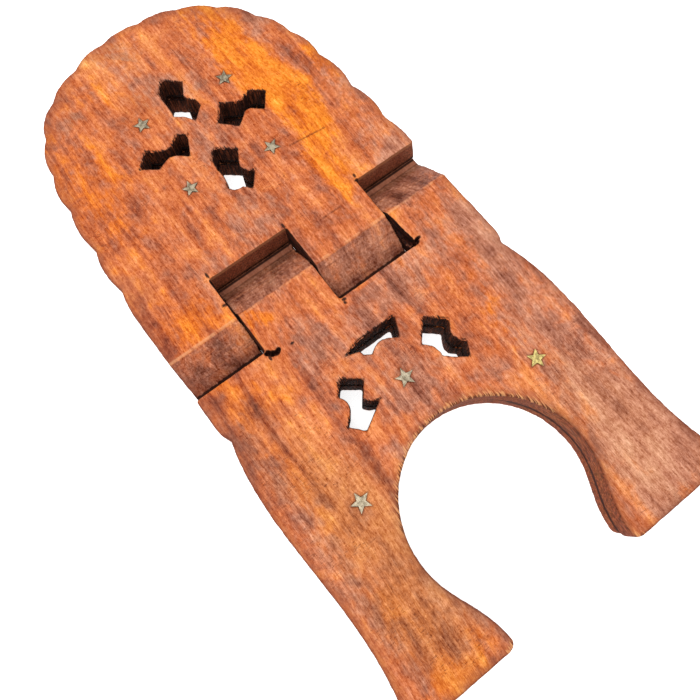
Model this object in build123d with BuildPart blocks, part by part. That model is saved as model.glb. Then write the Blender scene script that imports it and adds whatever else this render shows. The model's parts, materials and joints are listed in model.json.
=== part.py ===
from build123d import *
import os
from math import cos, pi, radians, sin

os.makedirs("parts", exist_ok=True)

# A folding bible stand sawn and carved from one plank, folded flat with its front face up.
# X runs across the width, Y runs from the feet to the scalloped head, Z is up.
# Millimetres. The plane z = 0 is the face the folded stand rests on.

# The plank
overall_length = 305.0
thickness = 22.0
split = 0.8

# The hinge: four equal columns, 1 to 4 from -X to +X, two knuckles on each leaf
column_pitch = 37.5
column_kerf = 0.7
bevel_run = 15.5
head_notch = 20.5
leg_notch = 18.5
notch_lean = 2.0
saw_overrun = 1.4

# The outline, measured from the hinge axis. It was sawn by hand, a little out of line with
# the hinge, so its centre line leans from the right foot towards the left of the head.
outline_start = -0.45
outline_lean = 0.0175
foot_y = -157.5
foot_half_width = {-1: 77.2, 1: 77.5}
toe_radius = 3.0
ankle = {-1: (70.9, -113.0), 1: (70.9, -119.0)}
belly = {-1: (71.6, -62.0), 1: (72.4, -80.0)}
shoulder = (67.5, -38.6)
shoulder_curve = (68.9, -36.0)
side_half_width = 69.5
side_straight = (-30.6, 22.0)
side_curve = (69.0, 31.0)
side_cusps = [(67.5, 38.0), (66.3, 59.5)]
head_radius = 65.0
side_rise = 1.9
crown_rises = [1.9, 1.8, 2.0, 1.7, 1.9, 1.8, 2.0, 2.0, 2.4, 2.0, 1.9]
head_scallops = len(crown_rises)

# The crown isn't quite round: how far each hollow lies outside the head's radius
hollow_offsets = [0.0, -0.2, 0.2, 1.2, 1.2, -0.2, -0.2, 0.0, 1.6, 1.3, 0.0, 0.0]
crest_chord = (head_radius + hollow_offsets[head_scallops // 2]) * cos(pi / 2 / head_scallops)
crest = crest_chord + crown_rises[head_scallops // 2]
head_centre_y = foot_y + overall_length - crest
hinge_y = -overall_length / 2 - foot_y

# The arch between the legs: each leaf's is sawn on its own, leaf A's a little wider
arch_top_y = -78.4
arch_turn = radians(18)
arch_radius = {"a": 39.4, "b": 38.6}
arch_centre_x = {"a": 1.6, "b": 0.8}
arch_foot_inset = 10.0

# The star inlays
star_thickness = 1.2
star_inner_ratio = 0.42
pocket_margin = 0.35

# Where the stars sit on the front face: x, y from the hinge axis, radius, turn in degrees
head_stars = [
    (-20.8, 98.4, 3.9, 10.0),
    (21.4, 97.0, 3.9, -12.0),
    (-20.9, 59.6, 3.8, 8.0),
    (18.1, 55.4, 3.8, 35.0),
]
leg_stars = [
    (0.4, -59.4, 4.1, 8.0),
    (46.0, -84.5, 4.1, -15.0),
    (-41.8, -86.4, 4.2, 19.0),
]

# Each fretted opening is a run of straight cuts, and each waist is an arc through one point
head_openings = [
    # above the centre of the head
    [
        ("cuts", [(1.7, 100.5), (5.2, 106.5), (-2.0, 112.6), (-6.4, 107.5), (-6.9, 103.0)]),
        ("waist", (-6.8, 98.5)),
        ("cuts", [(-7.4, 93.6), (-3.6, 90.8), (-0.8, 86.4), (5.0, 91.6), (4.6, 95.2)]),
        ("waist", (1.9, 98.0)),
    ],
    # to the right
    [
        ("cuts", [(18.0, 76.4), (12.9, 72.4), (6.4, 79.0), (12.4, 87.0), (17.6, 83.8)]),
        ("waist", (20.4, 82.8)),
        ("cuts", [(23.2, 83.6), (26.6, 84.6), (32.0, 80.2), (26.5, 72.9), (22.4, 76.8)]),
        ("waist", (20.3, 77.5)),
    ],
    # below
    [
        ("cuts", [(1.9, 56.8), (5.5, 63.5), (-2.3, 69.8), (-6.0, 65.5), (-6.8, 60.0)]),
        ("waist", (-6.5, 55.5)),
        ("cuts", [(-8.0, 50.0), (-6.4, 47.7), (-2.4, 47.0), (0.2, 43.9), (5.9, 50.7)]),
        ("waist", (1.7, 55.0)),
    ],
    # to the left
    [
        ("cuts", [(-22.0, 77.3), (-26.4, 75.2), (-33.0, 80.1), (-26.8, 86.2), (-22.5, 82.8)]),
        ("waist", (-19.0, 81.2)),
        ("cuts", [(-15.6, 81.8), (-11.9, 85.2), (-8.0, 82.4), (-12.6, 72.9), (-16.2, 76.0)]),
        ("waist", (-19.2, 77.5)),
    ],
]
leg_openings = [
    # the wide one under the hinge
    [
        ("cuts", [(-4.0, -44.3), (-6.8, -42.6), (-7.3, -40.4), (-13.0, -38.6), (-5.0, -36.7)]),
        ("cuts", [(12.6, -36.8), (8.8, -45.2), (6.8, -43.9)]),
        ("waist", (0.6, -41.9)),
    ],
    # to the left
    [
        ("cuts", [(-18.0, -56.4), (-13.0, -50.2), (-20.4, -44.8), (-25.0, -50.2)]),
        ("waist", (-23.3, -54.2)),
        ("cuts", [(-24.4, -57.3), (-28.8, -61.6), (-24.0, -66.8), (-12.4, -60.0)]),
        ("waist", (-16.8, -58.2)),
    ],
    # to the right
    [
        ("cuts", [(26.2, -55.4), (29.0, -51.2), (21.5, -44.7), (14.0, -53.0)]),
        ("waist", (17.2, -56.6)),
        ("cuts", [(17.7, -61.4), (21.0, -64.6), (26.0, -68.0), (29.0, -62.0)]),
        ("waist", (25.9, -58.6)),
    ],
]


def draw_opening(runs):
    """Draw one closed fretted opening inside the current BuildLine."""
    corners = []
    through = {}
    for kind, value in runs:
        if kind == "cuts":
            corners += value
        else:
            through[len(corners)] = value
    for place, corner in enumerate(corners, start=1):
        following = corners[place % len(corners)]
        if place in through:
            ThreePointArc(corner, through[place], following)
        else:
            Line(corner, following)


def leaned(x, y):
    """A point of the outer outline, moved over with the outline's leaning centre line."""
    return Vector(x + outline_start - outline_lean * y, y)


def draw_scallop(start, end, centre, rise):
    """Draw one scallop that swells away from the centre."""
    middle = (start + end) / 2
    outward = (middle - centre).normalized()
    ThreePointArc(start, middle + outward * rise, end)


def draw_side(side, centre_x, radius):
    """Draw one long side, from the end of the arch up to the first scallop of the crown."""
    arch_low = (centre_x + side * radius * cos(arch_turn), arch_top_y - radius * (1 + sin(arch_turn)))
    foot_inner = (centre_x + side * (radius - arch_foot_inset), foot_y)
    foot_outer = leaned(side * foot_half_width[side], foot_y)
    waist = leaned(side * ankle[side][0], ankle[side][1])
    swell = leaned(side * belly[side][0], belly[side][1])
    shoulder_cusp = leaned(side * shoulder[0], shoulder[1])
    straight_start = leaned(side * side_half_width, side_straight[0])
    straight_end = leaned(side * side_half_width, side_straight[1])
    cusps = [leaned(side * x, y) for x, y in side_cusps] + [leaned(side * head_radius, head_centre_y)]
    Spline(arch_low, foot_inner, tangents=((-side * sin(arch_turn), -cos(arch_turn)), (0, -1)))
    Line(foot_inner, foot_outer)
    Spline(foot_outer, waist, swell, shoulder_cusp)
    ThreePointArc(shoulder_cusp, leaned(side * shoulder_curve[0], shoulder_curve[1]), straight_start)
    Line(straight_start, straight_end)
    ThreePointArc(straight_end, leaned(side * side_curve[0], side_curve[1]), cusps[0])
    for lower, upper in zip(cusps, cusps[1:]):
        draw_scallop(lower, upper, leaned(0, (lower.Y + upper.Y) / 2), side_rise)


def draw_arch(centre_x, radius):
    """Draw the round top of the arch, down to where its sides straighten."""
    reach = radius * cos(arch_turn)
    low_y = arch_top_y - radius * (1 + sin(arch_turn))
    ThreePointArc((centre_x - reach, low_y), (centre_x, arch_top_y), (centre_x + reach, low_y))


def crown_cusp(number):
    """The hollow between two scallops of the crown, counted from the +X side."""
    angle = pi * number / head_scallops
    radius = head_radius + hollow_offsets[number]
    return leaned(radius * cos(angle), head_centre_y + radius * sin(angle))


def star_points(radius, turn):
    """The ten corners of a five-pointed star."""
    points = []
    for corner in range(10):
        reach = radius if corner % 2 == 0 else radius * star_inner_ratio
        angle = radians(turn) + corner * pi / 5
        points.append((reach * cos(angle), reach * sin(angle)))
    return points


def mirrored(stars):
    """The same stars seen from the back: turned over about the long axis."""
    return [(-x, y, radius, 180 - turn) for x, y, radius, turn in stars]


# The plan of each leaf: outline, arch and fretted openings
plans = {}
for leaf_name in ("a", "b"):
    arch_place = (arch_centre_x[leaf_name], arch_radius[leaf_name])
    with BuildSketch() as plan:
        with BuildLine():
            for side in (-1, 1):
                draw_side(side, *arch_place)
            for number, rise in enumerate(crown_rises):
                draw_scallop(crown_cusp(number), crown_cusp(number + 1), leaned(0, head_centre_y), rise)
            draw_arch(*arch_place)
        make_face()
        foot_corners = plan.vertices().filter_by(lambda corner: corner.Y < foot_y + 0.1)
        fillet(foot_corners, toe_radius)
        for runs in head_openings + leg_openings:
            with BuildLine():
                draw_opening(runs)
            make_face(mode=Mode.SUBTRACT)
    plans[leaf_name] = plan.sketch

# The origin is under the centre of the outline, so the hinge stands a little to one side
outline_box = plans["b"].bounding_box()
hinge_x = -(outline_box.min.X + outline_box.max.X) / 2


def flat_plane(height):
    """A level plane with its origin over the middle of the hinge axis."""
    return Plane(origin=(hinge_x, hinge_y, height), x_dir=(1, 0, 0), z_dir=(0, 0, 1))


def section_plane(x):
    """A plane across the hinge, looking along +X: local x is Y, local y is Z from mid-thickness."""
    return Plane(origin=(hinge_x + x, hinge_y, thickness / 2), x_dir=(0, 1, 0), z_dir=(1, 0, 0))


# Heights from mid-thickness, and a reach that clears the whole plank
half = thickness / 2
gap = split / 2
kerf = column_kerf / 2
far = 200.0
column_edges = [-column_pitch, 0.0, column_pitch]


def layers_section(up):
    """The head in one layer and the legs in the other, as a section across the hinge."""
    Polygon(
        (head_notch - notch_lean, up * gap),
        (head_notch, up * half),
        (far, up * half),
        (far, up * gap),
        align=None,
    )
    Polygon(
        (-leg_notch + notch_lean, -up * gap),
        (-leg_notch, -up * half),
        (-far, -up * half),
        (-far, -up * gap),
        align=None,
    )


def knuckle_section(up):
    """One knuckle: a slanting block that carries the head layer down into the leg layer."""
    Polygon(
        (head_notch + 1, up * half),
        (0, up * half),
        (-bevel_run, -up * gap),
        (-leg_notch - 1, -up * gap),
        (-leg_notch - 1, -up * half),
        (0, -up * half),
        (bevel_run, up * gap),
        (head_notch + 1, up * gap),
        align=None,
    )


def saw_overruns():
    """Where the saw ran a little past each corner of the notches."""
    for edge in column_edges:
        for end in (head_notch + saw_overrun / 2, -leg_notch - saw_overrun / 2):
            with Locations((hinge_x + edge, hinge_y + end, half)):
                Box(column_kerf, saw_overrun, 2 * thickness, mode=Mode.SUBTRACT)


def star_pockets(stars):
    """The outline of a pocket for every star in the list."""
    for x, y, radius, turn in stars:
        with Locations((x, y)):
            Polygon(*star_points(radius + pocket_margin, turn), align=None)


# Leaf A: head in the front layer, legs in the back layer, knuckles in columns 1 and 3
with BuildPart() as leaf_a:
    with BuildSketch(section_plane(-far)):
        layers_section(1)
    extrude(amount=2 * far)
    with BuildSketch(section_plane(-far)):
        knuckle_section(1)
    extrude(amount=far - column_pitch - kerf)
    with BuildSketch(section_plane(kerf)):
        knuckle_section(1)
    extrude(amount=column_pitch - column_kerf)
    saw_overruns()
    with BuildSketch(flat_plane(0)):
        add(plans["a"])
    extrude(amount=thickness, mode=Mode.INTERSECT)
    with BuildSketch(flat_plane(thickness)):
        star_pockets(head_stars)
    extrude(amount=-star_thickness, mode=Mode.SUBTRACT)
    with BuildSketch(flat_plane(0)):
        star_pockets(mirrored(leg_stars))
    extrude(amount=star_thickness, mode=Mode.SUBTRACT)

leaf_a.part.label = "leaf_a"
export_step(leaf_a.part, "parts/leaf_a.step")

# Leaf B: head in the back layer, legs in the front layer, knuckles in columns 2 and 4
with BuildPart() as leaf_b:
    with BuildSketch(section_plane(-far)):
        layers_section(-1)
    extrude(amount=2 * far)
    with BuildSketch(section_plane(-column_pitch + kerf)):
        knuckle_section(-1)
    extrude(amount=column_pitch - column_kerf)
    with BuildSketch(section_plane(column_pitch + kerf)):
        knuckle_section(-1)
    extrude(amount=far - column_pitch - kerf)
    saw_overruns()
    with BuildSketch(flat_plane(0)):
        add(plans["b"])
    extrude(amount=thickness, mode=Mode.INTERSECT)
    with BuildSketch(flat_plane(thickness)):
        star_pockets(leg_stars)
    extrude(amount=-star_thickness, mode=Mode.SUBTRACT)
    with BuildSketch(flat_plane(0)):
        star_pockets(mirrored(head_stars))
    extrude(amount=star_thickness, mode=Mode.SUBTRACT)

leaf_b.part.label = "leaf_b"
export_step(leaf_b.part, "parts/leaf_b.step")

# The stars: four on each head and three on each pair of legs, on both faces of the stand
star_sets = [
    ("star_a_head", head_stars, thickness - star_thickness),
    ("star_a_legs", mirrored(leg_stars), 0.0),
    ("star_b_head", mirrored(head_stars), 0.0),
    ("star_b_legs", leg_stars, thickness - star_thickness),
]
for set_name, stars, floor in star_sets:
    for number, (x, y, radius, turn) in enumerate(stars, start=1):
        star_name = f"{set_name}_{number}"
        with BuildPart() as star:
            with BuildSketch(flat_plane(floor)):
                with Locations((x, y)):
                    Polygon(*star_points(radius, turn), align=None)
            extrude(amount=star_thickness)
        star.part.label = star_name
        export_step(star.part, f"parts/{star_name}.step")
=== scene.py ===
"""A bible stand carved from one plank, folded flat on a pale floor and seen almost from above.

Carving and shading work in millimetres, and the finished meshes are scaled to metres. X runs across
the stand, Y runs from its feet to its head, and Z is up.
"""

import itertools
import json
import math

import bmesh
import bpy
import numpy as np
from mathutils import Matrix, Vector, kdtree


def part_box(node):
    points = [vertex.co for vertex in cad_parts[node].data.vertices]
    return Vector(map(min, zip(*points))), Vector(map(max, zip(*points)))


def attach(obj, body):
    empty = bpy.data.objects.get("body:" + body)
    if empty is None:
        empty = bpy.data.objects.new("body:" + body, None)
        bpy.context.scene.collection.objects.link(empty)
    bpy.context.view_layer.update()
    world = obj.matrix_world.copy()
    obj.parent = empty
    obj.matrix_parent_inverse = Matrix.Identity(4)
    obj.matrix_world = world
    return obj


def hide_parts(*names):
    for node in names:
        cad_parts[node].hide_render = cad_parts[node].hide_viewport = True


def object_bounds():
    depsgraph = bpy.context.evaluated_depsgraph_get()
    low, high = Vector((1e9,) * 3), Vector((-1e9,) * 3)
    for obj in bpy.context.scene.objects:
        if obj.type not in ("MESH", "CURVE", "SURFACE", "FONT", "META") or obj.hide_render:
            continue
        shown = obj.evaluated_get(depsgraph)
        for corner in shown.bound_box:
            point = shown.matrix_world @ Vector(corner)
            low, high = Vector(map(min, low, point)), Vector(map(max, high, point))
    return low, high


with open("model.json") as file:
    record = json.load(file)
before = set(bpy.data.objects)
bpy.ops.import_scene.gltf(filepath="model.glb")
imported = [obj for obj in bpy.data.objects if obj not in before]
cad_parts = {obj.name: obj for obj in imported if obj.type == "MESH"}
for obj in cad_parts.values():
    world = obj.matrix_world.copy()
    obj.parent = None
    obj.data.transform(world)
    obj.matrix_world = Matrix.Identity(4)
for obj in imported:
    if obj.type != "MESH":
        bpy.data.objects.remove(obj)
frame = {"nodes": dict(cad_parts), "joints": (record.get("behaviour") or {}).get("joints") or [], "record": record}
cad_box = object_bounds()

MM = 0.001
FRONT = cad_box[1].z / MM
HINGE_X, HINGE_Y, HINGE_Z = (value / MM for value in frame["joints"][0]["pos_m"])

# How finely the wood is carved
VOXEL = 0.5
MOST_TRIANGLES = 196_000


def spot(x, y, z=FRONT):
    """A place given from the hinge axis, as x, y, z in the frame."""
    return np.array([HINGE_X + x, HINGE_Y + y, z])


# ---------------------------------------------------------------- noise and mesh helpers


def soft_noise(points, cell, seed):
    """Smooth noise from -1 to 1 for each point, with features about one cell across."""
    side = 61
    table = np.random.default_rng(seed).uniform(-1, 1, (side, side, side))
    place = points / np.asarray(cell, float)
    low = np.floor(place).astype(int)
    part = place - low
    part = part * part * (3 - 2 * part)
    total = np.zeros(len(points))
    for corner in itertools.product((0, 1), repeat=3):
        weight = np.prod(np.where(corner, part, 1 - part), axis=1)
        at = (low + corner) % side
        total += weight * table[at[:, 0], at[:, 1], at[:, 2]]
    return total


def smooth_step(value, low, high):
    """0 below low, 1 above high, and a smooth rise between them."""
    part = np.clip((value - low) / (high - low), 0, 1)
    return part * part * (3 - 2 * part)


def read_points(mesh):
    """The places of a mesh's vertices as an array."""
    points = np.empty(len(mesh.vertices) * 3)
    mesh.vertices.foreach_get("co", points)
    return points.reshape(-1, 3)


def read_normals(mesh):
    """The normals of a mesh's vertices as an array."""
    normals = np.empty(len(mesh.vertices) * 3, np.float32)
    mesh.vertex_normals.foreach_get("vector", normals)
    return normals.reshape(-1, 3)


def write_points(mesh, points):
    """Moves the mesh's vertices to these places."""
    mesh.vertices.foreach_set("co", np.ascontiguousarray(points, dtype=np.float32).ravel())
    mesh.update()


def relax(mesh, points, strength, rounds):
    """Rounds the mesh off: each point moves towards the middle of its neighbours."""
    pairs = np.empty(len(mesh.edges) * 2, int)
    mesh.edges.foreach_get("vertices", pairs)
    first, second = pairs.reshape(-1, 2).T
    count = np.bincount(pairs, minlength=len(points))[:, None]
    for _ in range(rounds):
        total = np.empty_like(points)
        for axis in range(3):
            total[:, axis] = np.bincount(first, points[second, axis], len(points))
            total[:, axis] += np.bincount(second, points[first, axis], len(points))
        points = points + strength[:, None] * (total / count - points)
    return points


def new_piece(name, mesh):
    """An object for a finished mesh, in the scene."""
    piece = bpy.data.objects.new(name, mesh)
    bpy.context.scene.collection.objects.link(piece)
    return piece


def applied(piece):
    """The mesh that a piece's modifiers give, in place of its old one."""
    shape = piece.evaluated_get(bpy.context.evaluated_depsgraph_get())
    mesh = bpy.data.meshes.new_from_object(shape)
    piece.modifiers.clear()
    piece.data = mesh
    return mesh


# ---------------------------------------------------------------- carving the wood

# Chips and saw overruns at the corners of the notches, measured from the hinge axis:
# x, y, half width along X, half width along Y, depth
CHIPS = {
    "leaf_a": [
        (-38.6, 7.4, 1.3, 0.5, 2.5),
        (-37.4, 22.2, 0.5, 1.3, 4.0),
        (0.1, 21.6, 0.5, 1.3, 5.0),
        (37.4, 20.4, 0.9, 0.5, 3.0),
        (37.9, 22.4, 0.5, 0.9, 2.0),
    ],
    "leaf_b": [
        (-36.6, -19.3, 1.2, 1.1, 6.0),
        (-35.2, -20.6, 1.3, 1.2, 6.0),
        (-33.6, -21.2, 1.4, 1.1, 5.0),
        (-32.3, -20.6, 0.9, 0.9, 4.0),
        (-36.9, -21.6, 0.5, 1.0, 3.0),
        (-26.5, -21.8, 0.7, 0.5, 0.8),
        (0.8, -19.4, 0.9, 0.6, 4.0),
        (0.3, -20.8, 0.5, 0.7, 3.0),
        (39.0, -17.4, 1.9, 1.2, 9.0),
        (41.2, -16.4, 1.3, 0.7, 6.0),
        (38.5, -15.2, 0.9, 1.9, 8.0),
        (38.2, -12.2, 0.8, 3.4, 8.0),
        (38.8, -12.9, 0.5, 0.6, 6.0),
        (38.5, -9.9, 0.5, 0.8, 6.0),
        (38.0, -8.0, 0.6, 3.6, 7.0),
        (38.0, -4.0, 0.4, 3.0, 5.0),
    ],
}
# Long scratches across the grain, measured from the hinge axis: from x, y to x, y
SCRATCHES = [
    (24.8, 51.1, 42.2, 49.2),
    (15.5, 14.5, 24.4, 14.6),
    (-39.5, 6.4, -34.0, 9.0),
]
# The middle leg star sits in a recess wider than itself, given like a chip
STAR_RECESS = (1.0, -58.9, 4.6, 4.3, 0.9)

# Kinds of edge, by what they border
OUTLINE, FRET, ARCH, NOTCH, POCKET = range(5)
# An edge this near to an opening's box, or to the middle of a star, borders it
FRET_REACH = 9.0
POCKET_REACH = 5.5
# From the hinge axis: how far the hinge goes each way, and the arch's half width and top
HINGE_ZONE = (66.0, 24.0)
ARCH_ZONE = (44.0, -76.0)
# The hinge's kerfs lie at its middle and this far out, and their closed walls this far off centre
COLUMN = 37.5
CLOSED_KERF = 0.03
# Along Y from the hinge axis: the notches' ends, the lines of painted shade where the leaves meet,
# and the foot of the bevel
NOTCH_REACH = 21.0
LEG_SEAM_SHADE = -14.0
HEAD_SEAM_SHADE = 18.3
BEVEL_RUN = 15.5
# Distances to the edges are painted up to this far
EDGE_REACH = 5.0
# An outward edge bends at least this much, and is sampled this often
SHARP_ANGLE = math.radians(20)
SAMPLE_STEP = 0.5
# Edges further than this from mid-thickness border the plank's front or back
FACE_EDGES = 8.0
# Corners of the CAD mesh closer than this are one
WELD = 0.002
SCRATCH_DEPTH = 0.35
# All triangles are kept this near to a carved edge, round a chip and to a scratch
KEPT_BY_EDGE = 2.2
KEPT_BY_CHIP = (1.2, 1.2, 6.0)
KEPT_BY_SCRATCH = 1.5


def fret_boxes():
    """The pierced openings as rectangles in plan, in mm, a little larger than stated."""
    boxes = []
    for opening in frame["record"]["physics"]["openings"]:
        if "fret" in opening["name"]:
            low, high = (np.array(corner[:2]) / MM for corner in opening["box_m"])
            boxes.append((low - FRET_REACH, high + FRET_REACH))
    return boxes


def star_centres():
    """The middle of each star, in mm."""
    centres = []
    for name in frame["nodes"]:
        if name.startswith("star"):
            low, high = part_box(name)
            centres.append(np.array((low + high) / 2) / MM)
    return np.array(centres)


FRET_BOXES = fret_boxes()
STAR_CENTRES = star_centres()


def edge_kind(place):
    """Which kind of edge lies at this place."""
    x, y = place[0] - HINGE_X, place[1] - HINGE_Y
    if np.min(np.linalg.norm(STAR_CENTRES - place, axis=1)) < POCKET_REACH:
        return POCKET
    if abs(x) < HINGE_ZONE[0] and abs(y) < HINGE_ZONE[1]:
        return NOTCH
    if any((low < place[:2]).all() and (place[:2] < high).all() for low, high in FRET_BOXES):
        return FRET
    if abs(x) < ARCH_ZONE[0] and y < ARCH_ZONE[1]:
        return ARCH
    return OUTLINE


def sharp_edges(mesh):
    """Points along the mesh's outward edges, the kind of each, and whether its fibres are torn."""
    shape = bmesh.new()
    shape.from_mesh(mesh)
    places, kinds, torn = [], [], []
    for edge in shape.edges:
        if len(edge.link_faces) != 2 or edge.calc_face_angle_signed(0) < SHARP_ANGLE:
            continue
        start, end = (np.array(vertex.co) for vertex in edge.verts)
        steps = max(1, math.ceil(np.linalg.norm(end - start) / SAMPLE_STEP))
        facing = min(face.normal.y for face in edge.link_faces)
        kind = edge_kind((start + end) / 2)
        for step in range(steps + 1):
            places.append(start + (end - start) * step / steps)
            kinds.append(kind)
            torn.append(facing < -0.35 and kind in (FRET, ARCH) and abs(start[2] - end[2]) < 0.1)
    shape.free()
    return np.array(places), np.array(kinds), np.array(torn)


def nearest(samples, points):
    """How far each point is from the nearest sample."""
    if len(samples) == 0:
        return np.full(len(points), 1e3)
    tree = kdtree.KDTree(len(samples))
    for number, sample in enumerate(samples):
        tree.insert(sample, number)
    tree.balance()
    return np.array([tree.find(point)[2] for point in points])


def chip_tool(name, chips):
    """A rough lump for each chip, all in one mesh, to cut out of the wood."""
    shape = bmesh.new()
    dice = np.random.default_rng(len(chips))
    for x, y, half_x, half_y, depth in chips:
        made = bmesh.ops.create_icosphere(shape, subdivisions=2, radius=1)
        centre = spot(x, y)
        for vertex in made["verts"]:
            jitter = 1 + dice.uniform(-0.22, 0.22)
            size = Vector((half_x, half_y, depth)) * jitter
            vertex.co = Vector(centre) + Vector(a * b for a, b in zip(vertex.co, size))
    mesh = bpy.data.meshes.new(name)
    shape.to_mesh(mesh)
    shape.free()
    return new_piece(name, mesh)


def carved(node, chips):
    """A leaf as the carver left it: the CAD shape worn, chipped, torn and marked by tools."""
    source = frame["nodes"][node]
    mesh = source.data.copy()
    mesh.materials.clear()
    mesh.transform(source.matrix_world)
    write_points(mesh, read_points(mesh) / MM)
    shape = bmesh.new()
    shape.from_mesh(mesh)
    bmesh.ops.remove_doubles(shape, verts=shape.verts, dist=WELD)
    shape.to_mesh(mesh)
    shape.free()
    places, kinds, torn = sharp_edges(mesh)
    piece = new_piece(node + "_carved", mesh)

    tool = chip_tool(node + "_chips", chips)
    cut = piece.modifiers.new("chips", "BOOLEAN")
    cut.operation = "DIFFERENCE"
    cut.solver = "EXACT"
    cut.use_self = True
    cut.object = tool
    grain = piece.modifiers.new("grain", "REMESH")
    grain.mode = "VOXEL"
    grain.voxel_size = VOXEL
    mesh = applied(piece)
    bpy.data.objects.remove(tool)

    # Softened all over, and rounded more along the worn outline
    points = read_points(mesh)
    points = relax(mesh, points, np.full(len(points), 0.5), 2)
    outer = np.abs(places[:, 2] - HINGE_Z) > FACE_EDGES
    to_outline = nearest(places[outer & ((kinds == OUTLINE) | (kinds == ARCH))], points)
    worn = smooth_step(-to_outline, -2.4, -0.8)
    points = relax(mesh, points, 0.5 * worn, round(3 / VOXEL))
    write_points(mesh, points)

    normals = read_normals(mesh)
    points = points + normals * tool_marks(points, normals)[:, None]
    points = points + tear(points, normals, places[torn])
    points = close_kerfs(points, normals)
    points[:, 2] -= SCRATCH_DEPTH * smooth_step(-to_scratch(points), -0.55, -0.1)
    points = inside_plank(points)
    write_points(mesh, points)

    thin_out(piece, places[(kinds == FRET) | (kinds == NOTCH) | torn], chips)
    mesh = piece.data
    paint(mesh, places, kinds, torn, CHIPS[node])
    write_points(mesh, read_points(mesh) * MM)
    mesh.shade_smooth()
    even = piece.modifiers.new("even_shading", "WEIGHTED_NORMAL")
    even.weight = 60
    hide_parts(node)
    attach(piece, body_of_node(node))
    return piece


def thin_out(piece, kept_edges, chips):
    """Fewer triangles on the plain surfaces, and all of them by kept edges, chips and scratches."""
    mesh = piece.data
    faces = sum(len(face.vertices) - 2 for face in mesh.polygons)
    if faces <= MOST_TRIANGLES:
        return
    points = read_points(mesh)
    # The faces between the leaves are plain right up to their edges
    outer = np.abs(points[:, 2] - HINGE_Z) > 2
    kept = (nearest(kept_edges, points) < KEPT_BY_EDGE) & outer
    for x, y, half_x, half_y, _ in chips:
        reach = np.array([half_x, half_y, 0]) + KEPT_BY_CHIP
        kept |= (np.abs(points - spot(x, y)) < reach).all(axis=1)
    kept |= to_scratch(points) < KEPT_BY_SCRATCH
    group = piece.vertex_groups.new(name="plain")
    group.add(np.flatnonzero(~kept).tolist(), 1.0, "REPLACE")
    thin = piece.modifiers.new("thin", "DECIMATE")
    thin.ratio = MOST_TRIANGLES / faces
    thin.vertex_group = "plain"
    applied(piece)
    piece.vertex_groups.clear()


def tool_marks(points, normals):
    """How far the surface stands out from the true shape: planing waves, chatter and saw marks."""
    level = smooth_step(np.abs(normals[:, 2]), 0.8, 0.97)
    waves = 0.10 * soft_noise(points, (16, 34, 40), 11)
    dents = 0.05 * soft_noise(points, (3.5, 7, 9), 12)
    chatter = 0.035 * soft_noise(points, (9, 1.6, 40), 13)
    walls = 0.12 * soft_noise(points, (1.6, 1.6, 14), 14)
    return (waves + dents + chatter) * level + (walls + dents) * (1 - level)


def close_kerfs(points, normals):
    """The columns' side walls moved together under the surface, so that no light shows through.

    Small lips close the split between the leaves at each kerf too.
    """
    points = points.copy()
    height = points[:, 2] - HINGE_Z
    deep = smooth_step(-np.abs(height), -9.8, -8.0)
    deep *= np.abs(points[:, 1] - HINGE_Y) < HINGE_ZONE[1]
    for line in (HINGE_X - COLUMN, HINGE_X, HINGE_X + COLUMN):
        away = points[:, 0] - line
        side = np.sign(away)
        wall = smooth_step(-normals[:, 0] * side, 0.3, 0.6) * (np.abs(away) < 0.9) * deep
        points[:, 0] += wall * (line + side * CLOSED_KERF - points[:, 0])
        lip = smooth_step(-np.abs(away), -0.9, -0.6) * deep
        lip *= smooth_step(-np.abs(height), -1.6, -0.8)
        points[:, 2] -= 1.1 * lip * np.clip(height, -0.6, 0.6)
    return points


def to_scratch(points):
    """How far each point near the front face is from the nearest scratch, seen in plan."""
    gap = np.full(len(points), EDGE_REACH)
    for start_x, start_y, end_x, end_y in SCRATCHES:
        start, end = spot(start_x, start_y)[:2], spot(end_x, end_y)[:2]
        run = end - start
        along = np.clip((points[:, :2] - start) @ run / (run @ run), 0, 1)
        away = np.linalg.norm(points[:, :2] - start - along[:, None] * run, axis=1)
        gap = np.minimum(gap, away)
    return np.where(points[:, 2] > FRONT - 1.5, gap, EDGE_REACH)


def tear(points, normals, rims):
    """How far the points sink where fibres are torn out along the edges across the grain."""
    gap = nearest(rims, points)
    reach = 0.45 + soft_noise(points, (0.8, 30, 50), 21)
    reach += 0.5 * soft_noise(points, (2.8, 30, 50), 22)
    depth = np.clip(reach - gap, 0, 1.2) * (normals[:, 2] > 0.3)
    return np.outer(-1.2 * depth, (0, 0, 1))


def inside_plank(points):
    """The points, none of them outside the plank's own box."""
    low, high = (np.array(corner) / MM for corner in cad_box)
    return np.clip(points, low, high)


def body_of_node(node):
    """The name of the body that a CAD node belongs to."""
    bodies = frame["record"]["behaviour"]["bodies"]
    return next(body for body, nodes in bodies.items() if node in nodes)
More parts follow.
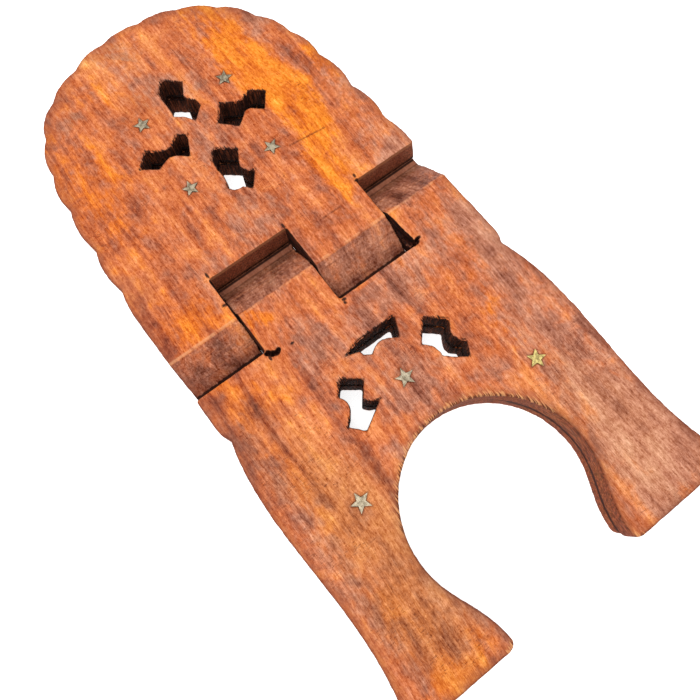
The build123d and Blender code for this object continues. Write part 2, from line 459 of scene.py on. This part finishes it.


# Soft patches of colour, measured from the hinge axis: x, y, half widths, strength.
# The wood is more amber in GLOW, dirty in GRIME, redder and duller in DUSK, and yellower in OCHRE.
# The list after GLOW is painted sheen that makes the wood lighter, and painted shade that makes it
# darker where the strength is below zero.
GLOW = [
    (34, 99, 13, 30, 1.0),
    (62, 84, 6, 14, 0.7),
    (-62, 118, 7, 12, 0.7),
    (40, 68, 12, 26, 0.9),
    (32, 34, 10, 20, 0.8),
    (-62, 24, 8, 16, 0.3),
    (-50, 8, 15, 9, 0.7),
    (-31, -5, 6, 5, 1.0),
    (-54, -30, 16, 12, 0.6),
    (-58, -66, 10, 24, 0.3),
    (46, -62, 4, 24, 0.7),
    (-48, -150, 16, 7, 0.8),
    (-52, 84, 14, 30, 0.6),
    (32, 137, 11, 8, 0.9),
    (-34, 124, 14, 9, 0.4),
    (-57, -110, 6, 40, 0.5),
]
SHEEN_AND_SHADE = [
    (-16, 132, 26, 12, 1.0),
    (34, 135, 13, 12, 1.2),
    (-20, 141, 16, 6, 1.0),
    (66, -78, 6, 36, -1.3),
    (55, 4, 14, 8, -1.2),
    (46, -64, 3.5, 22, 1.2),
    (56, -14, 8, 5, -0.4),
    (-54, -146, 12, 10, -0.8),
    (64, 20, 7, 12, 1.0),
    (-64, 50, 8, 60, -0.6),
    (-58, 0, 14, 70, -1.2),
    (-52, 84, 16, 30, -0.4),
    (-58, -60, 10, 40, -0.6),
    (-58, -120, 8, 30, -1.0),
    (-36, -112, 9, 26, 0.6),
    (34, -98, 8, 22, 1.1),
    (24, -60, 8, 18, 0.5),
    (-16, -60, 9, 8, -0.6),
    (-25, 20, 22, 16, -0.4),
    (54, -138, 20, 20, 0.7),
    (47, -100, 8, 34, 0.4),
    (60, -30, 12, 16, -0.3),
    (14, 0, 14, 10, 0.6),
    (0, 116, 12, 12, -0.4),
    (26, -8, 14, 10, 0.6),
    (-60, -8, 13, 9, 0.3),
    (0, -28, 40, 7, -0.5),
    (58, -84, 14, 14, -0.4),
]
GRIME = [
    (-9, 12, 9, 4, 1.0),
    (-18, 9, 8, 3, 0.5),
    (-19.5, -25.5, 3, 4, 0.9),
    (-8, 130, 2.5, 14, 0.7),
    (-46, 121, 5, 2.5, 0.7),
    (-14, 110, 2, 9, 0.5),
    (-26, 106, 3, 3, 0.4),
    (12, 101, 4, 2, 0.5),
]
DUSK = [
    (-8, 120, 8, 22, 0.6),
    (46, -150, 14, 8, 0.6),
    (-34, 20, 10, 14, 0.4),
    (-6, 76, 12, 26, 0.4),
    (-46, 122, 7, 4, 0.5),
    (60, 22, 9, 20, 0.8),
    (64, -28, 8, 20, 0.8),
    (50, 10, 9, 16, 0.8),
    (4, 104, 9, 10, 0.6),
    (30, -20, 10, 10, 0.4),
    (-8, -42, 14, 8, 0.4),
    (30, -80, 7, 7, 0.4),
    (62, 60, 6, 14, 0.5),
    (50, 112, 6, 8, 0.8),
    (-9, 30, 14, 13, 0.6),
    (-19, -25, 5, 10, 0.8),
    (62, -88, 16, 60, 0.8),
    (60, -138, 22, 22, 0.9),
    (0, -62, 20, 13, 0.5),
    (14, -30, 22, 9, 0.7),
    (50, -22, 20, 9, 0.4),
    (-62, -90, 6, 60, 0.5),
    (-34, -130, 8, 16, 0.6),
    (46, -110, 12, 20, 0.3),
    (-14, -84, 8, 8, 0.8),
    (-20, 8, 14, 8, 0.5),
]
OCHRE = [
    (-46, -110, 18, 50, 1.0),
    (-56, -50, 12, 30, 0.4),
    (50, -120, 16, 34, 0.3),
]


def patches(points, spots):
    """How strongly each point lies in the soft patches, with wandering borders."""
    x = points[:, 0] - HINGE_X + 3 * soft_noise(points, (7, 20, 30), 31)
    y = points[:, 1] - HINGE_Y + 7 * soft_noise(points, (4, 18, 30), 32)
    total = np.zeros(len(points))
    for centre_x, centre_y, half_x, half_y, strength in spots:
        away = np.hypot((x - centre_x) / half_x, (y - centre_y) / half_y)
        total += strength * smooth_step(-away, -1.35, -0.5)
    return total


def paint(mesh, places, kinds, torn, chips):
    """Gives the mesh what its shader needs: distances to its edges in mm, and some masks."""
    points = read_points(mesh)
    in_fret = np.zeros(len(points))
    for low, high in FRET_BOXES:
        in_fret = np.maximum(in_fret, ((points[:, :2] > low) & (points[:, :2] < high)).all(axis=1))
    in_chip = np.zeros(len(points))
    for x, y, half_x, half_y, depth in chips:
        away = (points - spot(x, y)) / (half_x, half_y, depth)
        in_chip = np.maximum(in_chip, smooth_step(-np.linalg.norm(away, axis=1), -1.35, -1.0))
    borders = {
        "to_torn": torn & (kinds == FRET),
        "to_arch": torn & (kinds == ARCH),
        "to_fret": kinds == FRET,
        "to_edge": (kinds == OUTLINE) | (kinds == ARCH),
        "to_star": kinds == POCKET,
    }
    layers = {
        name: np.minimum(nearest(places[border], points), EDGE_REACH)
        for name, border in borders.items()
    }
    layers |= {
        "to_scratch": to_scratch(points),
        "in_fret": in_fret,
        "in_chip": in_chip,
        "glow": patches(points, GLOW),
        "dusk": patches(points, DUSK),
        "grime": patches(points, GRIME),
        # Painted sheen, and painted shade where the patches are below zero
        "light": patches(points, SHEEN_AND_SHADE),
        "ochre": patches(points, OCHRE),
    }
    for name, values in layers.items():
        layer = mesh.attributes.new(name, "FLOAT", "POINT")
        layer.data.foreach_set("value", np.asarray(values, np.float32))


# ---------------------------------------------------------------- shader helpers

# How screen brightness rises with light, near enough to lift colours by even steps
SCREEN_GAMMA = 2.2


def hue(code):
    """A linear colour from a six-digit screen colour."""
    parts = [int(code[i : i + 2], 16) / 255 for i in (0, 2, 4)]
    linear = [
        part / 12.92 if part < 0.04045 else ((part + 0.055) / 1.055) ** 2.4 for part in parts
    ]
    return (*linear, 1.0)


class Shader:
    """A node material with short calls for the nodes that it uses."""

    def __init__(self, name):
        self.material = bpy.data.materials.new(name)
        self.material.use_nodes = True
        self.tree = self.material.node_tree
        self.tree.nodes.clear()
        self.surface = self.node("ShaderNodeBsdfPrincipled")
        output = self.node("ShaderNodeOutputMaterial")
        self.tree.links.new(self.surface.outputs[0], output.inputs["Surface"])
        where = self.node("ShaderNodeTexCoord")
        self.place = self.vector("SCALE", where.outputs["Object"], scale=1 / MM)
        self.facing = where.outputs["Normal"]

    def node(self, kind, **settings):
        """A new node with these settings."""
        made = self.tree.nodes.new(kind)
        for key, value in settings.items():
            setattr(made, key, value)
        return made

    def put(self, socket, value):
        """Feeds an input from another node's socket, or gives it a fixed value."""
        if isinstance(value, bpy.types.NodeSocket):
            self.tree.links.new(value, socket)
        else:
            socket.default_value = value

    def vector(self, operation, first, second=None, scale=None):
        """The result of an operation on one or two vectors, or on a vector and a scale."""
        made = self.node("ShaderNodeVectorMath", operation=operation)
        self.put(made.inputs[0], first)
        if second is not None:
            self.put(made.inputs[1], second)
        if scale is not None:
            self.put(made.inputs["Scale"], scale)
        return made.outputs[0]

    def math(self, operation, first, second=0.0, third=0.0, clamp=False):
        """The result of an operation on up to three numbers."""
        made = self.node("ShaderNodeMath", operation=operation, use_clamp=clamp)
        for socket, value in zip(made.inputs, (first, second, third)):
            self.put(socket, value)
        return made.outputs[0]

    def noise(self, place, cell, detail=2.0, rough=0.5, twist=0.0):
        """Noise about 0.5, with features of the given size along X, Y and Z in mm."""
        scaled = self.vector("MULTIPLY", place, tuple(1 / size for size in cell))
        made = self.node("ShaderNodeTexNoise", noise_dimensions="3D")
        self.put(made.inputs["Vector"], scaled)
        self.put(made.inputs["Scale"], 1.0)
        self.put(made.inputs["Detail"], detail)
        self.put(made.inputs["Roughness"], rough)
        self.put(made.inputs["Distortion"], twist)
        return made.outputs["Fac"]

    def band(self, value, low, high):
        """0 below low, 1 above high."""
        made = self.node("ShaderNodeMapRange", interpolation_type="SMOOTHSTEP")
        self.put(made.inputs["Value"], value)
        self.put(made.inputs["From Min"], low)
        self.put(made.inputs["From Max"], high)
        return made.outputs["Result"]

    def from_hinge(self):
        """X, Y and Z in mm from the hinge axis, as three sockets."""
        place = self.vector("SUBTRACT", self.place, (HINGE_X, HINGE_Y, HINGE_Z))
        apart = self.node("ShaderNodeSeparateXYZ")
        self.put(apart.inputs[0], place)
        return apart.outputs["X"], apart.outputs["Y"], apart.outputs["Z"]

    def attribute(self, name):
        """The value painted on the mesh under this name."""
        return self.node("ShaderNodeAttribute", attribute_name=name).outputs["Fac"]

    def ramp(self, value, *colours):
        """A colour between these screen colours, which are spread evenly from 0 to 1."""
        made = self.node("ShaderNodeValToRGB")
        self.put(made.inputs["Fac"], value)
        elements = made.color_ramp.elements
        while len(elements) < len(colours):
            elements.new(0.5)
        for number, (element, colour) in enumerate(zip(elements, colours)):
            element.position = number / (len(colours) - 1)
            element.color = hue(colour)
        return made.outputs["Color"]

    def mix(self, factor, first, second):
        """The first colour, turning into the second as the factor goes from 0 to 1."""
        made = self.node("ShaderNodeMix", data_type="RGBA")
        self.put(made.inputs[0], factor)
        self.put(made.inputs[6], first)
        self.put(made.inputs[7], second)
        return made.outputs[2]

    def stained(self, colour, mask, most, code):
        """The colour with some of a screen colour over it: this share of it where the mask is 1."""
        return self.mix(self.math("MULTIPLY", mask, most), colour, hue(code))

    def lift(self, colour, amount):
        """The colour with every screen channel raised by the same amount."""
        shown = self.node("ShaderNodeGamma")
        self.put(shown.inputs["Color"], colour)
        shown.inputs["Gamma"].default_value = 1 / SCREEN_GAMMA
        even = self.node("ShaderNodeCombineXYZ")
        for socket in even.inputs:
            self.put(socket, amount)
        raised = self.vector("ADD", shown.outputs[0], even.outputs[0])
        raised = self.vector("MAXIMUM", raised, (0.02, 0.02, 0.02))
        back = self.node("ShaderNodeGamma")
        self.put(back.inputs["Color"], raised)
        back.inputs["Gamma"].default_value = SCREEN_GAMMA
        return back.outputs[0]

    def product(self, first, *others):
        """The values multiplied together."""
        for other in others:
            first = self.math("MULTIPLY", first, other)
        return first

    def total(self, *terms, base=0.0):
        """The base plus each value's distance from one half times its weight."""
        return self.plus(base - sum(weight for _, weight in terms) / 2, *terms)

    def plus(self, whole, *terms):
        """The whole with each term's value times its weight added."""
        for value, weight in terms:
            whole = self.math("MULTIPLY_ADD", value, weight, whole)
        return whole

    def bump(self, height, distance, strength):
        """Lets the light show a height, where 1 stands for this distance in mm."""
        made = self.node("ShaderNodeBump")
        self.put(made.inputs["Height"], height)
        self.put(made.inputs["Distance"], distance * MM)
        self.put(made.inputs["Strength"], strength)
        self.tree.links.new(made.outputs["Normal"], self.surface.inputs["Normal"])


class WoodShader(Shader):
    """Oiled orange-brown hardwood: streaky along Y, blotchy, with dark pores and worn places.

    Each layer takes the colour so far and gives it back with more on it.
    """

    def __init__(self):
        """Sets up the noises and the regions that the layers share."""
        super().__init__("oiled_hardwood")
        place = self.place
        # The grain wanders sideways along the board
        drift = self.math("SUBTRACT", self.noise(place, (34, 110, 30), 1.0), 0.5)
        sway = self.node("ShaderNodeCombineXYZ")
        self.put(sway.inputs["X"], self.product(drift, 16.0))
        grain = self.vector("ADD", place, sway.outputs[0])

        # Bands, streaks and fibres that follow the grain, then stains and marks that don't
        self.broad = self.noise(grain, (8, 100, 16), 3.0, 0.55)
        self.streak = self.noise(grain, (1.7, 40, 5), 3.0, 0.6)
        self.fibre = self.noise(grain, (0.42, 5, 0.8), 2.0, 0.6)
        self.pore = self.noise(grain, (0.36, 1.7, 0.5), 1.0, 0.5)
        self.stain = self.noise(place, (8, 11, 10), 3.0, 0.55, 0.5)
        self.mottle = self.noise(place, (1.3, 2.0, 1.4), 3.0, 0.65)
        self.tinge = self.noise(place, (2.8, 5.0, 2.8), 1.0, 0.5, 0.4)
        self.speckle = self.noise(place, (0.5, 0.6, 0.5), 2.0, 0.7)
        self.frayed = self.noise(place, (0.5, 30, 50), 2.0, 0.7)
        self.saw = self.noise(place, (22, 0.8, 9), 2.0, 0.5)
        ticks = self.band(self.noise(place, (1.8, 0.4, 6), 1.0, 0.5), 0.6, 0.72)
        here_and_there = self.band(self.noise(place, (14, 20, 14), 2.0), 0.5, 0.62)
        self.ticks = self.product(ticks, here_and_there)

        # Where on the stand a point lies, and which way it faces
        self.x, self.y, self.z = self.from_hinge()
        self.depth = self.math("ABSOLUTE", self.z)
        self.uneven_y = self.plus(self.y, (self.math("SUBTRACT", self.mottle, 0.5), 1.2))
        self.in_hinge = self.band(self.math("ABSOLUTE", self.y), NOTCH_REACH, NOTCH_REACH - 0.8)
        upright = self.node("ShaderNodeSeparateXYZ")
        self.put(upright.inputs[0], self.facing)
        self.level = self.math("ABSOLUTE", upright.outputs["Z"])
        self.wall = self.band(self.level, 0.75, 0.35)
        self.side_wall = self.math("ABSOLUTE", upright.outputs["X"])
        below_face = self.band(self.depth, HINGE_Z - 0.25, HINGE_Z - 0.7)
        self.sunk = self.product(self.in_hinge, below_face)
        outside_hinge = self.math("SUBTRACT", 1.0, self.in_hinge)
        self.raw = self.product(self.band(self.depth, 1.3, 0.8), outside_hinge)
        self.to_edge = self.attribute("to_edge")
        # The painted shade along the hinge's seams
        self.seam_shade = self.hinge_seam_shade()

    def hinge_seam_shade(self):
        """Painted shade in the hinge's creases: dark lines where the two leaves meet, and a fainter one at the
        foot of the bevel.
        """
        leg_seam_shade = self.band(self.uneven_y, LEG_SEAM_SHADE + 0.1, LEG_SEAM_SHADE - 0.35)
        fold_shade = self.math("ABSOLUTE", self.math("SUBTRACT", self.uneven_y, BEVEL_RUN))
        fold_shade = self.product(self.band(fold_shade, 0.5, 0.2), 0.45)
        head_seam_shade = self.math("ABSOLUTE", self.math("SUBTRACT", self.y, HEAD_SEAM_SHADE))
        head_seam_shade = self.math("MAXIMUM", self.band(head_seam_shade, 0.7, 0.3), fold_shade)
        return self.product(
            self.math("MAXIMUM", leg_seam_shade, head_seam_shade),
            self.band(self.depth, 2.6, 2.0),
            self.in_hinge,
            self.band(self.side_wall, 0.7, 0.4),
        )

    def oiled(self):
        """The oiled wood's own colour."""
        glow, dusk = self.attribute("glow"), self.attribute("dusk")
        tone = self.total(
            (self.broad, 0.9),
            (self.streak, 0.5),
            (self.stain, 0.85),
            (self.mottle, 0.15),
            base=0.51,
        )
        # The "light" patches are painted sheen, and painted shade where below zero
        tone = self.plus(tone, (glow, 0.06), (self.sunk, -0.14), (self.attribute("light"), 0.12))
        plain = self.ramp(tone, "6E301C", "9E4E2E", "C86C3E", "DE864E", "F2A868")
        rosy = self.ramp(tone, "63372A", "955A45", "BC7B5F", "D49879", "EABD9E")
        amber = self.ramp(tone, "762F0E", "AC4F16", "D66C1E", "EC8828", "FAA83C")
        ochre = self.ramp(tone, "5E361C", "905630", "BE7A46", "DA985C", "F0BC84")
        rosiness = self.total(
            (self.stain, -0.9), (self.broad, -0.9), (self.tinge, -0.9), base=0.12
        )
        rosiness = self.plus(rosiness, (dusk, 0.62), (self.sunk, 0.45))
        richness = self.total(
            (self.stain, 0.9), (self.streak, 0.6), (self.broad, 0.9), (self.tinge, 0.8), base=0.02
        )
        richness = self.plus(richness, (glow, 0.72), (dusk, -0.45), (self.sunk, -0.35))
        colour = self.mix(self.band(rosiness, 0.05, 0.75), plain, rosy)
        colour = self.mix(self.band(richness, 0.1, 0.75), colour, amber)
        return self.mix(self.product(self.attribute("ochre"), 0.55), colour, ochre)

    def marked(self, colour):
        """Dirt, rasp marks in the sunken facets, ticks across the grain, pores, flecks, and painted glints of the
        oil.
        """
        grime = self.product(self.attribute("grime"), self.band(self.mottle, 0.25, 0.7))
        colour = self.stained(colour, grime, 0.75, "6C422E")
        rasped = self.noise(self.place, (15, 1.0, 1.0), 3.0, 0.6)
        rasp = self.product(self.total((rasped, 1.0)), self.sunk)
        colour = self.stained(colour, self.band(rasp, 0.0, -0.3), 0.7, "5A2A20")
        colour = self.stained(colour, self.band(rasp, 0.03, 0.3), 0.5, "D88A5E")
        foot_of_bevel = self.product(self.band(self.depth, 4.5, 1.0), self.sunk)
        colour = self.stained(colour, foot_of_bevel, 0.3, "5A2A20")
        colour = self.stained(colour, self.ticks, 0.5, "6A3320")
        pores = self.band(self.pore, 0.54, 0.68)
        # Painted glints: tiny light specks that stand in for the oil's highlights
        painted_glint = self.band(self.noise(self.place, (0.4, 0.8, 0.4), 1.0, 0.5), 0.6, 0.74)
        flecks = self.total(
            (self.fibre, 0.3), (self.speckle, 0.22), (self.mottle, 0.3), (self.streak, 0.16)
        )
        return self.lift(colour, self.plus(flecks, (pores, -0.09), (painted_glint, 0.06)))

    def sawn(self, colour):
        """Bare sawn wood on the faces between the two leaves."""
        bare = self.mix(self.saw, hue("94522E"), hue("BA7C4A"))
        flecks = self.total(
            (self.streak, 0.3), (self.broad, 0.3), (self.fibre, 0.25), (self.mottle, 0.2)
        )
        return self.mix(self.product(self.raw, 0.85), colour, self.lift(bare, flecks))

    def edged(self, colour):
        """Rubbed edges with a thin dark rim of dirt and painted shade, rough walls, and the dark line where one
        leaf lies on the other, of dirt and painted shade.
        """
        near_edge = self.plus(self.to_edge, (self.stain, 3.0))
        colour = self.stained(colour, self.band(near_edge, 6.4, 1.4), 0.5, "7A4230")
        # A thin dark rim along the outline: dirt, and painted shade on the rounded edges
        colour = self.stained(colour, self.band(self.to_edge, 1.1, 0.2), 0.55, "5A2A1E")
        sides = self.mix(self.band(self.fibre, 0.35, 0.68), hue("3C170B"), hue("90482D"))
        colour = self.mix(self.product(self.wall, 0.85), colour, sides)
        # On the right leg the back layer stands out beside the arch, so the line is wider there: a painted shadow
        # under the overhang of the layer above
        arch_leg = self.product(
            self.band(self.x, 16.0, 30.0),
            self.band(self.x, 52.0, 48.0),
            self.band(self.y, -82.0, -94.0),
        )
        overhung_shadow = self.product(arch_leg, self.band(self.z, 0.3, -0.3))
        # The dark line at the split between the leaves: dirt, and painted shade in the gap
        split_dirt_and_shade = self.band(self.plus(self.depth, (overhung_shadow, -3.4)), 2.0, 1.0)
        near_wall = self.math("MAXIMUM", self.wall, self.band(self.to_edge, 1.3, 0.5))
        darkness = self.math("MULTIPLY_ADD", arch_leg, 0.42, 0.5)
        return self.stained(colour, self.product(split_dirt_and_shade, near_wall), darkness, "2A0C05")

    def hinged(self, colour):
        """The hinge's worn ridges, light lips and recessed strip, and painted shade along the seams."""
        ridge = self.product(
            self.band(self.math("ABSOLUTE", self.y), 0.9, 0.2),
            self.band(self.stain, 0.4, 0.6),
            self.band(self.depth, HINGE_Z - 1.0, HINGE_Z - 0.5),
        )
        colour = self.stained(colour, ridge, 0.4, "E8AE80")
        lip = self.product(self.wall, self.in_hinge, self.band(self.depth, 9.0, 9.6))
        colour = self.stained(colour, lip, 0.55, "A86C48")
        strip = self.product(
            self.band(self.y, BEVEL_RUN - 0.2, BEVEL_RUN + 0.2),
            self.in_hinge,
            self.band(self.depth, 1.2, 0.8),
        )
        colour = self.stained(colour, strip, 0.5, "A8644C")
        olive = self.product(
            self.band(self.uneven_y, BEVEL_RUN - 4.0, BEVEL_RUN - 2.0),
            self.band(self.depth, 4.0, 2.0),
            self.in_hinge,
        )
        colour = self.stained(colour, olive, 0.3, "5E3C22")
        # Painted shade along the creases where the two leaves meet
        return self.stained(colour, self.seam_shade, 0.92, "220D07")

    def scratched(self, colour):
        """Dirt and painted shade round the stars, and the scratches."""
        # A dark ring round each star: dirt, and painted shade in the gap round the inlay
        dirt = self.band(self.attribute("to_star"), 0.8, 0.1)
        colour = self.stained(colour, dirt, 0.5, "5A3020")
        to_scratch = self.plus(self.attribute("to_scratch"), (self.mottle, 1.2))
        return self.stained(colour, self.band(to_scratch, 1.3, 0.6), 0.65, "5A2614")

    def splintered(self, colour):
        """Lifted and missing fibres along the top of the arch."""
        below_face = self.band(self.depth, 9.5, 8.5)
        to_arch = self.plus(self.attribute("to_arch"), (below_face, EDGE_REACH))
        splinter = self.noise(self.place, (0.6, 6, 50), 2.0, 0.6)
        lifted = self.math("SUBTRACT", self.math("MULTIPLY_ADD", splinter, 9.0, -2.6), to_arch)
        lifted = self.product(self.band(lifted, 0.0, 1.2), self.band(self.frayed, 0.44, 0.56))
        colour = self.stained(colour, lifted, 0.55, "F2B074")
        gaps = self.math("SUBTRACT", self.math("MULTIPLY_ADD", self.frayed, -7.0, 4.1), to_arch)
        return self.stained(colour, self.band(gaps, 0.0, 0.5), 0.7, "4A2012")

    def scorched_and_shaded(self, colour):
        """Scorched walls and torn rims of the openings, dirt and painted shade at the split between the leaves in
        their walls, painted shade on the kerf walls in the hinge, and dark chips.
        """
        in_fret, to_fret = self.attribute("in_fret"), self.attribute("to_fret")
        strokes = self.noise(self.place, (0.7, 0.7, 7), 2.0, 0.6)
        char = self.mix(self.band(strokes, 0.42, 0.72), hue("240D08"), hue("7C3E24"))
        dark = self.mix(self.band(self.fibre, 0.45, 0.7), hue("170806"), hue("421C10"))
        fret_walls = self.product(self.band(self.level, 0.9, 0.5), in_fret)
        near_fret = self.math("MAXIMUM", self.wall, self.band(to_fret, 1.3, 0.6))
        # Dirt and painted shade at the split between the leaves, in the walls of the openings
        inner = self.product(self.band(self.depth, 2.4, 1.8), in_fret, near_fret)
        # Painted shade on the kerf walls between the hinge's columns
        kerf_wall_shade = self.product(
            self.band(self.side_wall, 0.4, 0.7),
            self.in_hinge,
            self.band(self.math("ABSOLUTE", self.x), COLUMN + 5.0, COLUMN + 4.0),
        )
        tufts = self.math("MULTIPLY_ADD", self.frayed, 4.6, -1.7)
        tufts = self.band(self.math("SUBTRACT", tufts, self.attribute("to_torn")), -0.1, 0.25)
        singed = self.math("SUBTRACT", self.product(self.speckle, 1.3), to_fret)
        singed = self.product(self.band(singed, -0.1, 0.5), 0.75)
        colour = self.mix(self.product(fret_walls, 0.93), colour, char)
        for mask in (inner, kerf_wall_shade, tufts, singed, self.attribute("in_chip")):
            colour = self.mix(self.product(mask, 0.93), colour, dark)
        return colour

    def finish(self, colour):
        """Puts the colour on, and sets how rough and uneven the surface is."""
        self.put(self.surface.inputs["Base Color"], colour)
        rough = self.total((self.stain, 0.4), (self.speckle, 0.4), (self.fibre, 0.2), base=0.5)
        matt = self.math("MAXIMUM", self.math("MAXIMUM", self.raw, self.wall), self.seam_shade)
        rough = self.math("MULTIPLY_ADD", matt, 0.35, rough, clamp=True)
        self.put(self.surface.inputs["Roughness"], rough)
        self.surface.inputs["Specular IOR Level"].default_value = 0.12
        height = self.total(
            (self.fibre, 0.8),
            (self.pore, -0.7),
            (self.mottle, 0.6),
            (self.speckle, 0.6),
            (self.saw, 0.2),
        )
        self.bump(self.plus(height, (self.ticks, -0.4)), 0.3, 0.5)


def wood_material():
    """The oiled wood with all its layers, the lowest first."""
    shade = WoodShader()
    colour = shade.oiled()
    for layer in (
        shade.marked,
        shade.sawn,
        shade.edged,
        shade.hinged,
        shade.scratched,
        shade.splintered,
        shade.scorched_and_shaded,
    ):
        colour = layer(colour)
    shade.finish(colour)
    return shade.material


def brass_material(name, dull, bright):
    """Old brass, rubbed bright here and there and dull with dirt elsewhere."""
    shade = Shader(name)
    cloud = shade.noise(shade.place, (1.6, 1.6, 1.6), 3.0, 0.6)
    scratch = shade.noise(shade.place, (0.12, 2.2, 0.3), 1.0, 0.5)
    tone = shade.band(shade.total((cloud, 1.6), (scratch, 0.8), base=0.5), 0.1, 0.9)
    shade.put(shade.surface.inputs["Base Color"], shade.mix(tone, hue(dull), hue(bright)))
    shade.surface.inputs["Metallic"].default_value = 0.75
    shade.put(shade.surface.inputs["Roughness"], shade.math("MULTIPLY_ADD", cloud, 0.35, 0.28))
    shade.bump(shade.total((cloud, 0.6), (scratch, 0.5)), 0.08, 0.7)
    return shade.material


# ---------------------------------------------------------------- the stars


def star_piece(node, material):
    """A star inlay with a bevelled rim, a slightly proud middle and five soft ridges."""
    points = read_points(frame["nodes"][node].data) / MM
    low, high = points.min(axis=0), points.max(axis=0)
    middle = (low + high) / 2
    outward = 1 if middle[2] > HINGE_Z else -1
    plan = np.unique(np.round(points[:, :2], 3), axis=0)
    hub = plan.mean(axis=0)
    plan = plan[np.argsort(np.arctan2(*(plan - hub).T[::-1]))]
    face = high[2] if outward > 0 else low[2]
    back = low[2] if outward > 0 else high[2]
    shape = bmesh.new()
    # The scale in plan and the height of each ring, from the back to the middle of the face
    rings = [(1.0, back), (1.04, face - outward * 0.15), (1.0, face - outward * 0.03), (0.45, face)]
    loops = []
    for scale, height in rings:
        ring = hub + (plan - hub) * scale
        loops.append([shape.verts.new((x, y, height)) for x, y in ring])
    for inner, outer in zip(loops[1:], loops):
        for number in range(len(plan)):
            following = (number + 1) % len(plan)
            shape.faces.new((outer[number], outer[following], inner[following], inner[number]))
    shape.faces.new(loops[0][::-1])
    crown = shape.verts.new((*hub, face - outward * 0.02))
    for number in range(len(plan)):
        shape.faces.new((loops[-1][number], loops[-1][(number + 1) % len(plan)], crown))
    bmesh.ops.recalc_face_normals(shape, faces=shape.faces)
    bmesh.ops.subdivide_edges(shape, edges=shape.edges, cuts=3, use_grid_fill=True)
    for vertex in shape.verts:
        vertex.co *= MM
    mesh = bpy.data.meshes.new(node + "_brass")
    shape.to_mesh(mesh)
    shape.free()
    points = read_points(mesh) / MM
    dents = 0.05 * soft_noise(points, (0.9, 0.9, 0.9), 51)
    points[:, 2] -= outward * np.abs(dents)
    write_points(mesh, points * MM)
    mesh.materials.append(material)
    piece = new_piece(node + "_brass", mesh)
    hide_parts(node)
    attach(piece, body_of_node(node))


# ---------------------------------------------------------------- the object

wood = wood_material()
for leaf, chips in CHIPS.items():
    if leaf == "leaf_b":
        chips = chips + [STAR_RECESS]
    carved(leaf, chips).data.materials.append(wood)

BRIGHT_STAR = "star_b_legs_2"
dull_brass = brass_material("dull_brass", "665A46", "BCAF96")
bright_brass = brass_material("bright_brass", "8F7B4A", "F0DC8C")
for name in list(frame["nodes"]):
    if name.startswith("star"):
        star_piece(name, bright_brass if name == BRIGHT_STAR else dull_brass)

# ---------------------------------------------------------------- floor, light and camera


def light_table_material():
    """A plain white matt sheet, lit a little from behind."""
    shade = Shader("light_table")
    shade.surface.inputs["Base Color"].default_value = hue("F0F0F0")
    shade.surface.inputs["Roughness"].default_value = 0.9
    shade.surface.inputs["Emission Color"].default_value = hue("FFFFFF")
    shade.surface.inputs["Emission Strength"].default_value = 0.75
    return shade.material


# The floor lies just under the stand, so that their faces don't coincide
FLOOR_GAP = 0.0002


def lay_floor():
    """A wide pale floor just under the stand."""
    half = 4.0
    mesh = bpy.data.meshes.new("floor")
    corners = [(-half, -half, 0), (half, -half, 0), (half, half, 0), (-half, half, 0)]
    mesh.from_pydata(corners, [], [(0, 1, 2, 3)])
    mesh.materials.append(light_table_material())
    floor = new_piece("floor", mesh)
    floor.location.z = -FLOOR_GAP


def soft_light(name, place, size, power):
    """A square soft box that looks at the stand."""
    lamp = bpy.data.lights.new(name, "AREA")
    lamp.size = size
    lamp.energy = power
    light = bpy.data.objects.new(name, lamp)
    light.location = place
    light.rotation_euler = (-Vector(place)).to_track_quat("-Z", "Y").to_euler()
    bpy.context.scene.collection.objects.link(light)


def light_room(strength):
    """Even white light from all round."""
    world = bpy.data.worlds.new("studio")
    world.use_nodes = True
    backdrop = world.node_tree.nodes["Background"]
    backdrop.inputs["Color"].default_value = (1, 1, 1, 1)
    backdrop.inputs["Strength"].default_value = strength
    bpy.context.scene.world = world


def place_camera():
    """A camera a quarter of a metre above the stand, tipped a little towards its head."""
    lens = bpy.data.cameras.new("camera")
    lens.sensor_width = 36.0
    lens.lens = 31.15
    lens.clip_start = 0.01
    camera = bpy.data.objects.new("camera", lens)
    camera.location = (-0.0504, -0.0829, 0.2510)
    camera.rotation_euler = (math.radians(15.36), 0, math.radians(-37.17))
    bpy.context.scene.collection.objects.link(camera)
    bpy.context.scene.camera = camera


lay_floor()
light_room(0.8)
soft_light("key", (-0.25, 0.1, 1.2), 0.9, 9.0)
place_camera()
bpy.context.scene.view_settings.view_transform = "Standard"
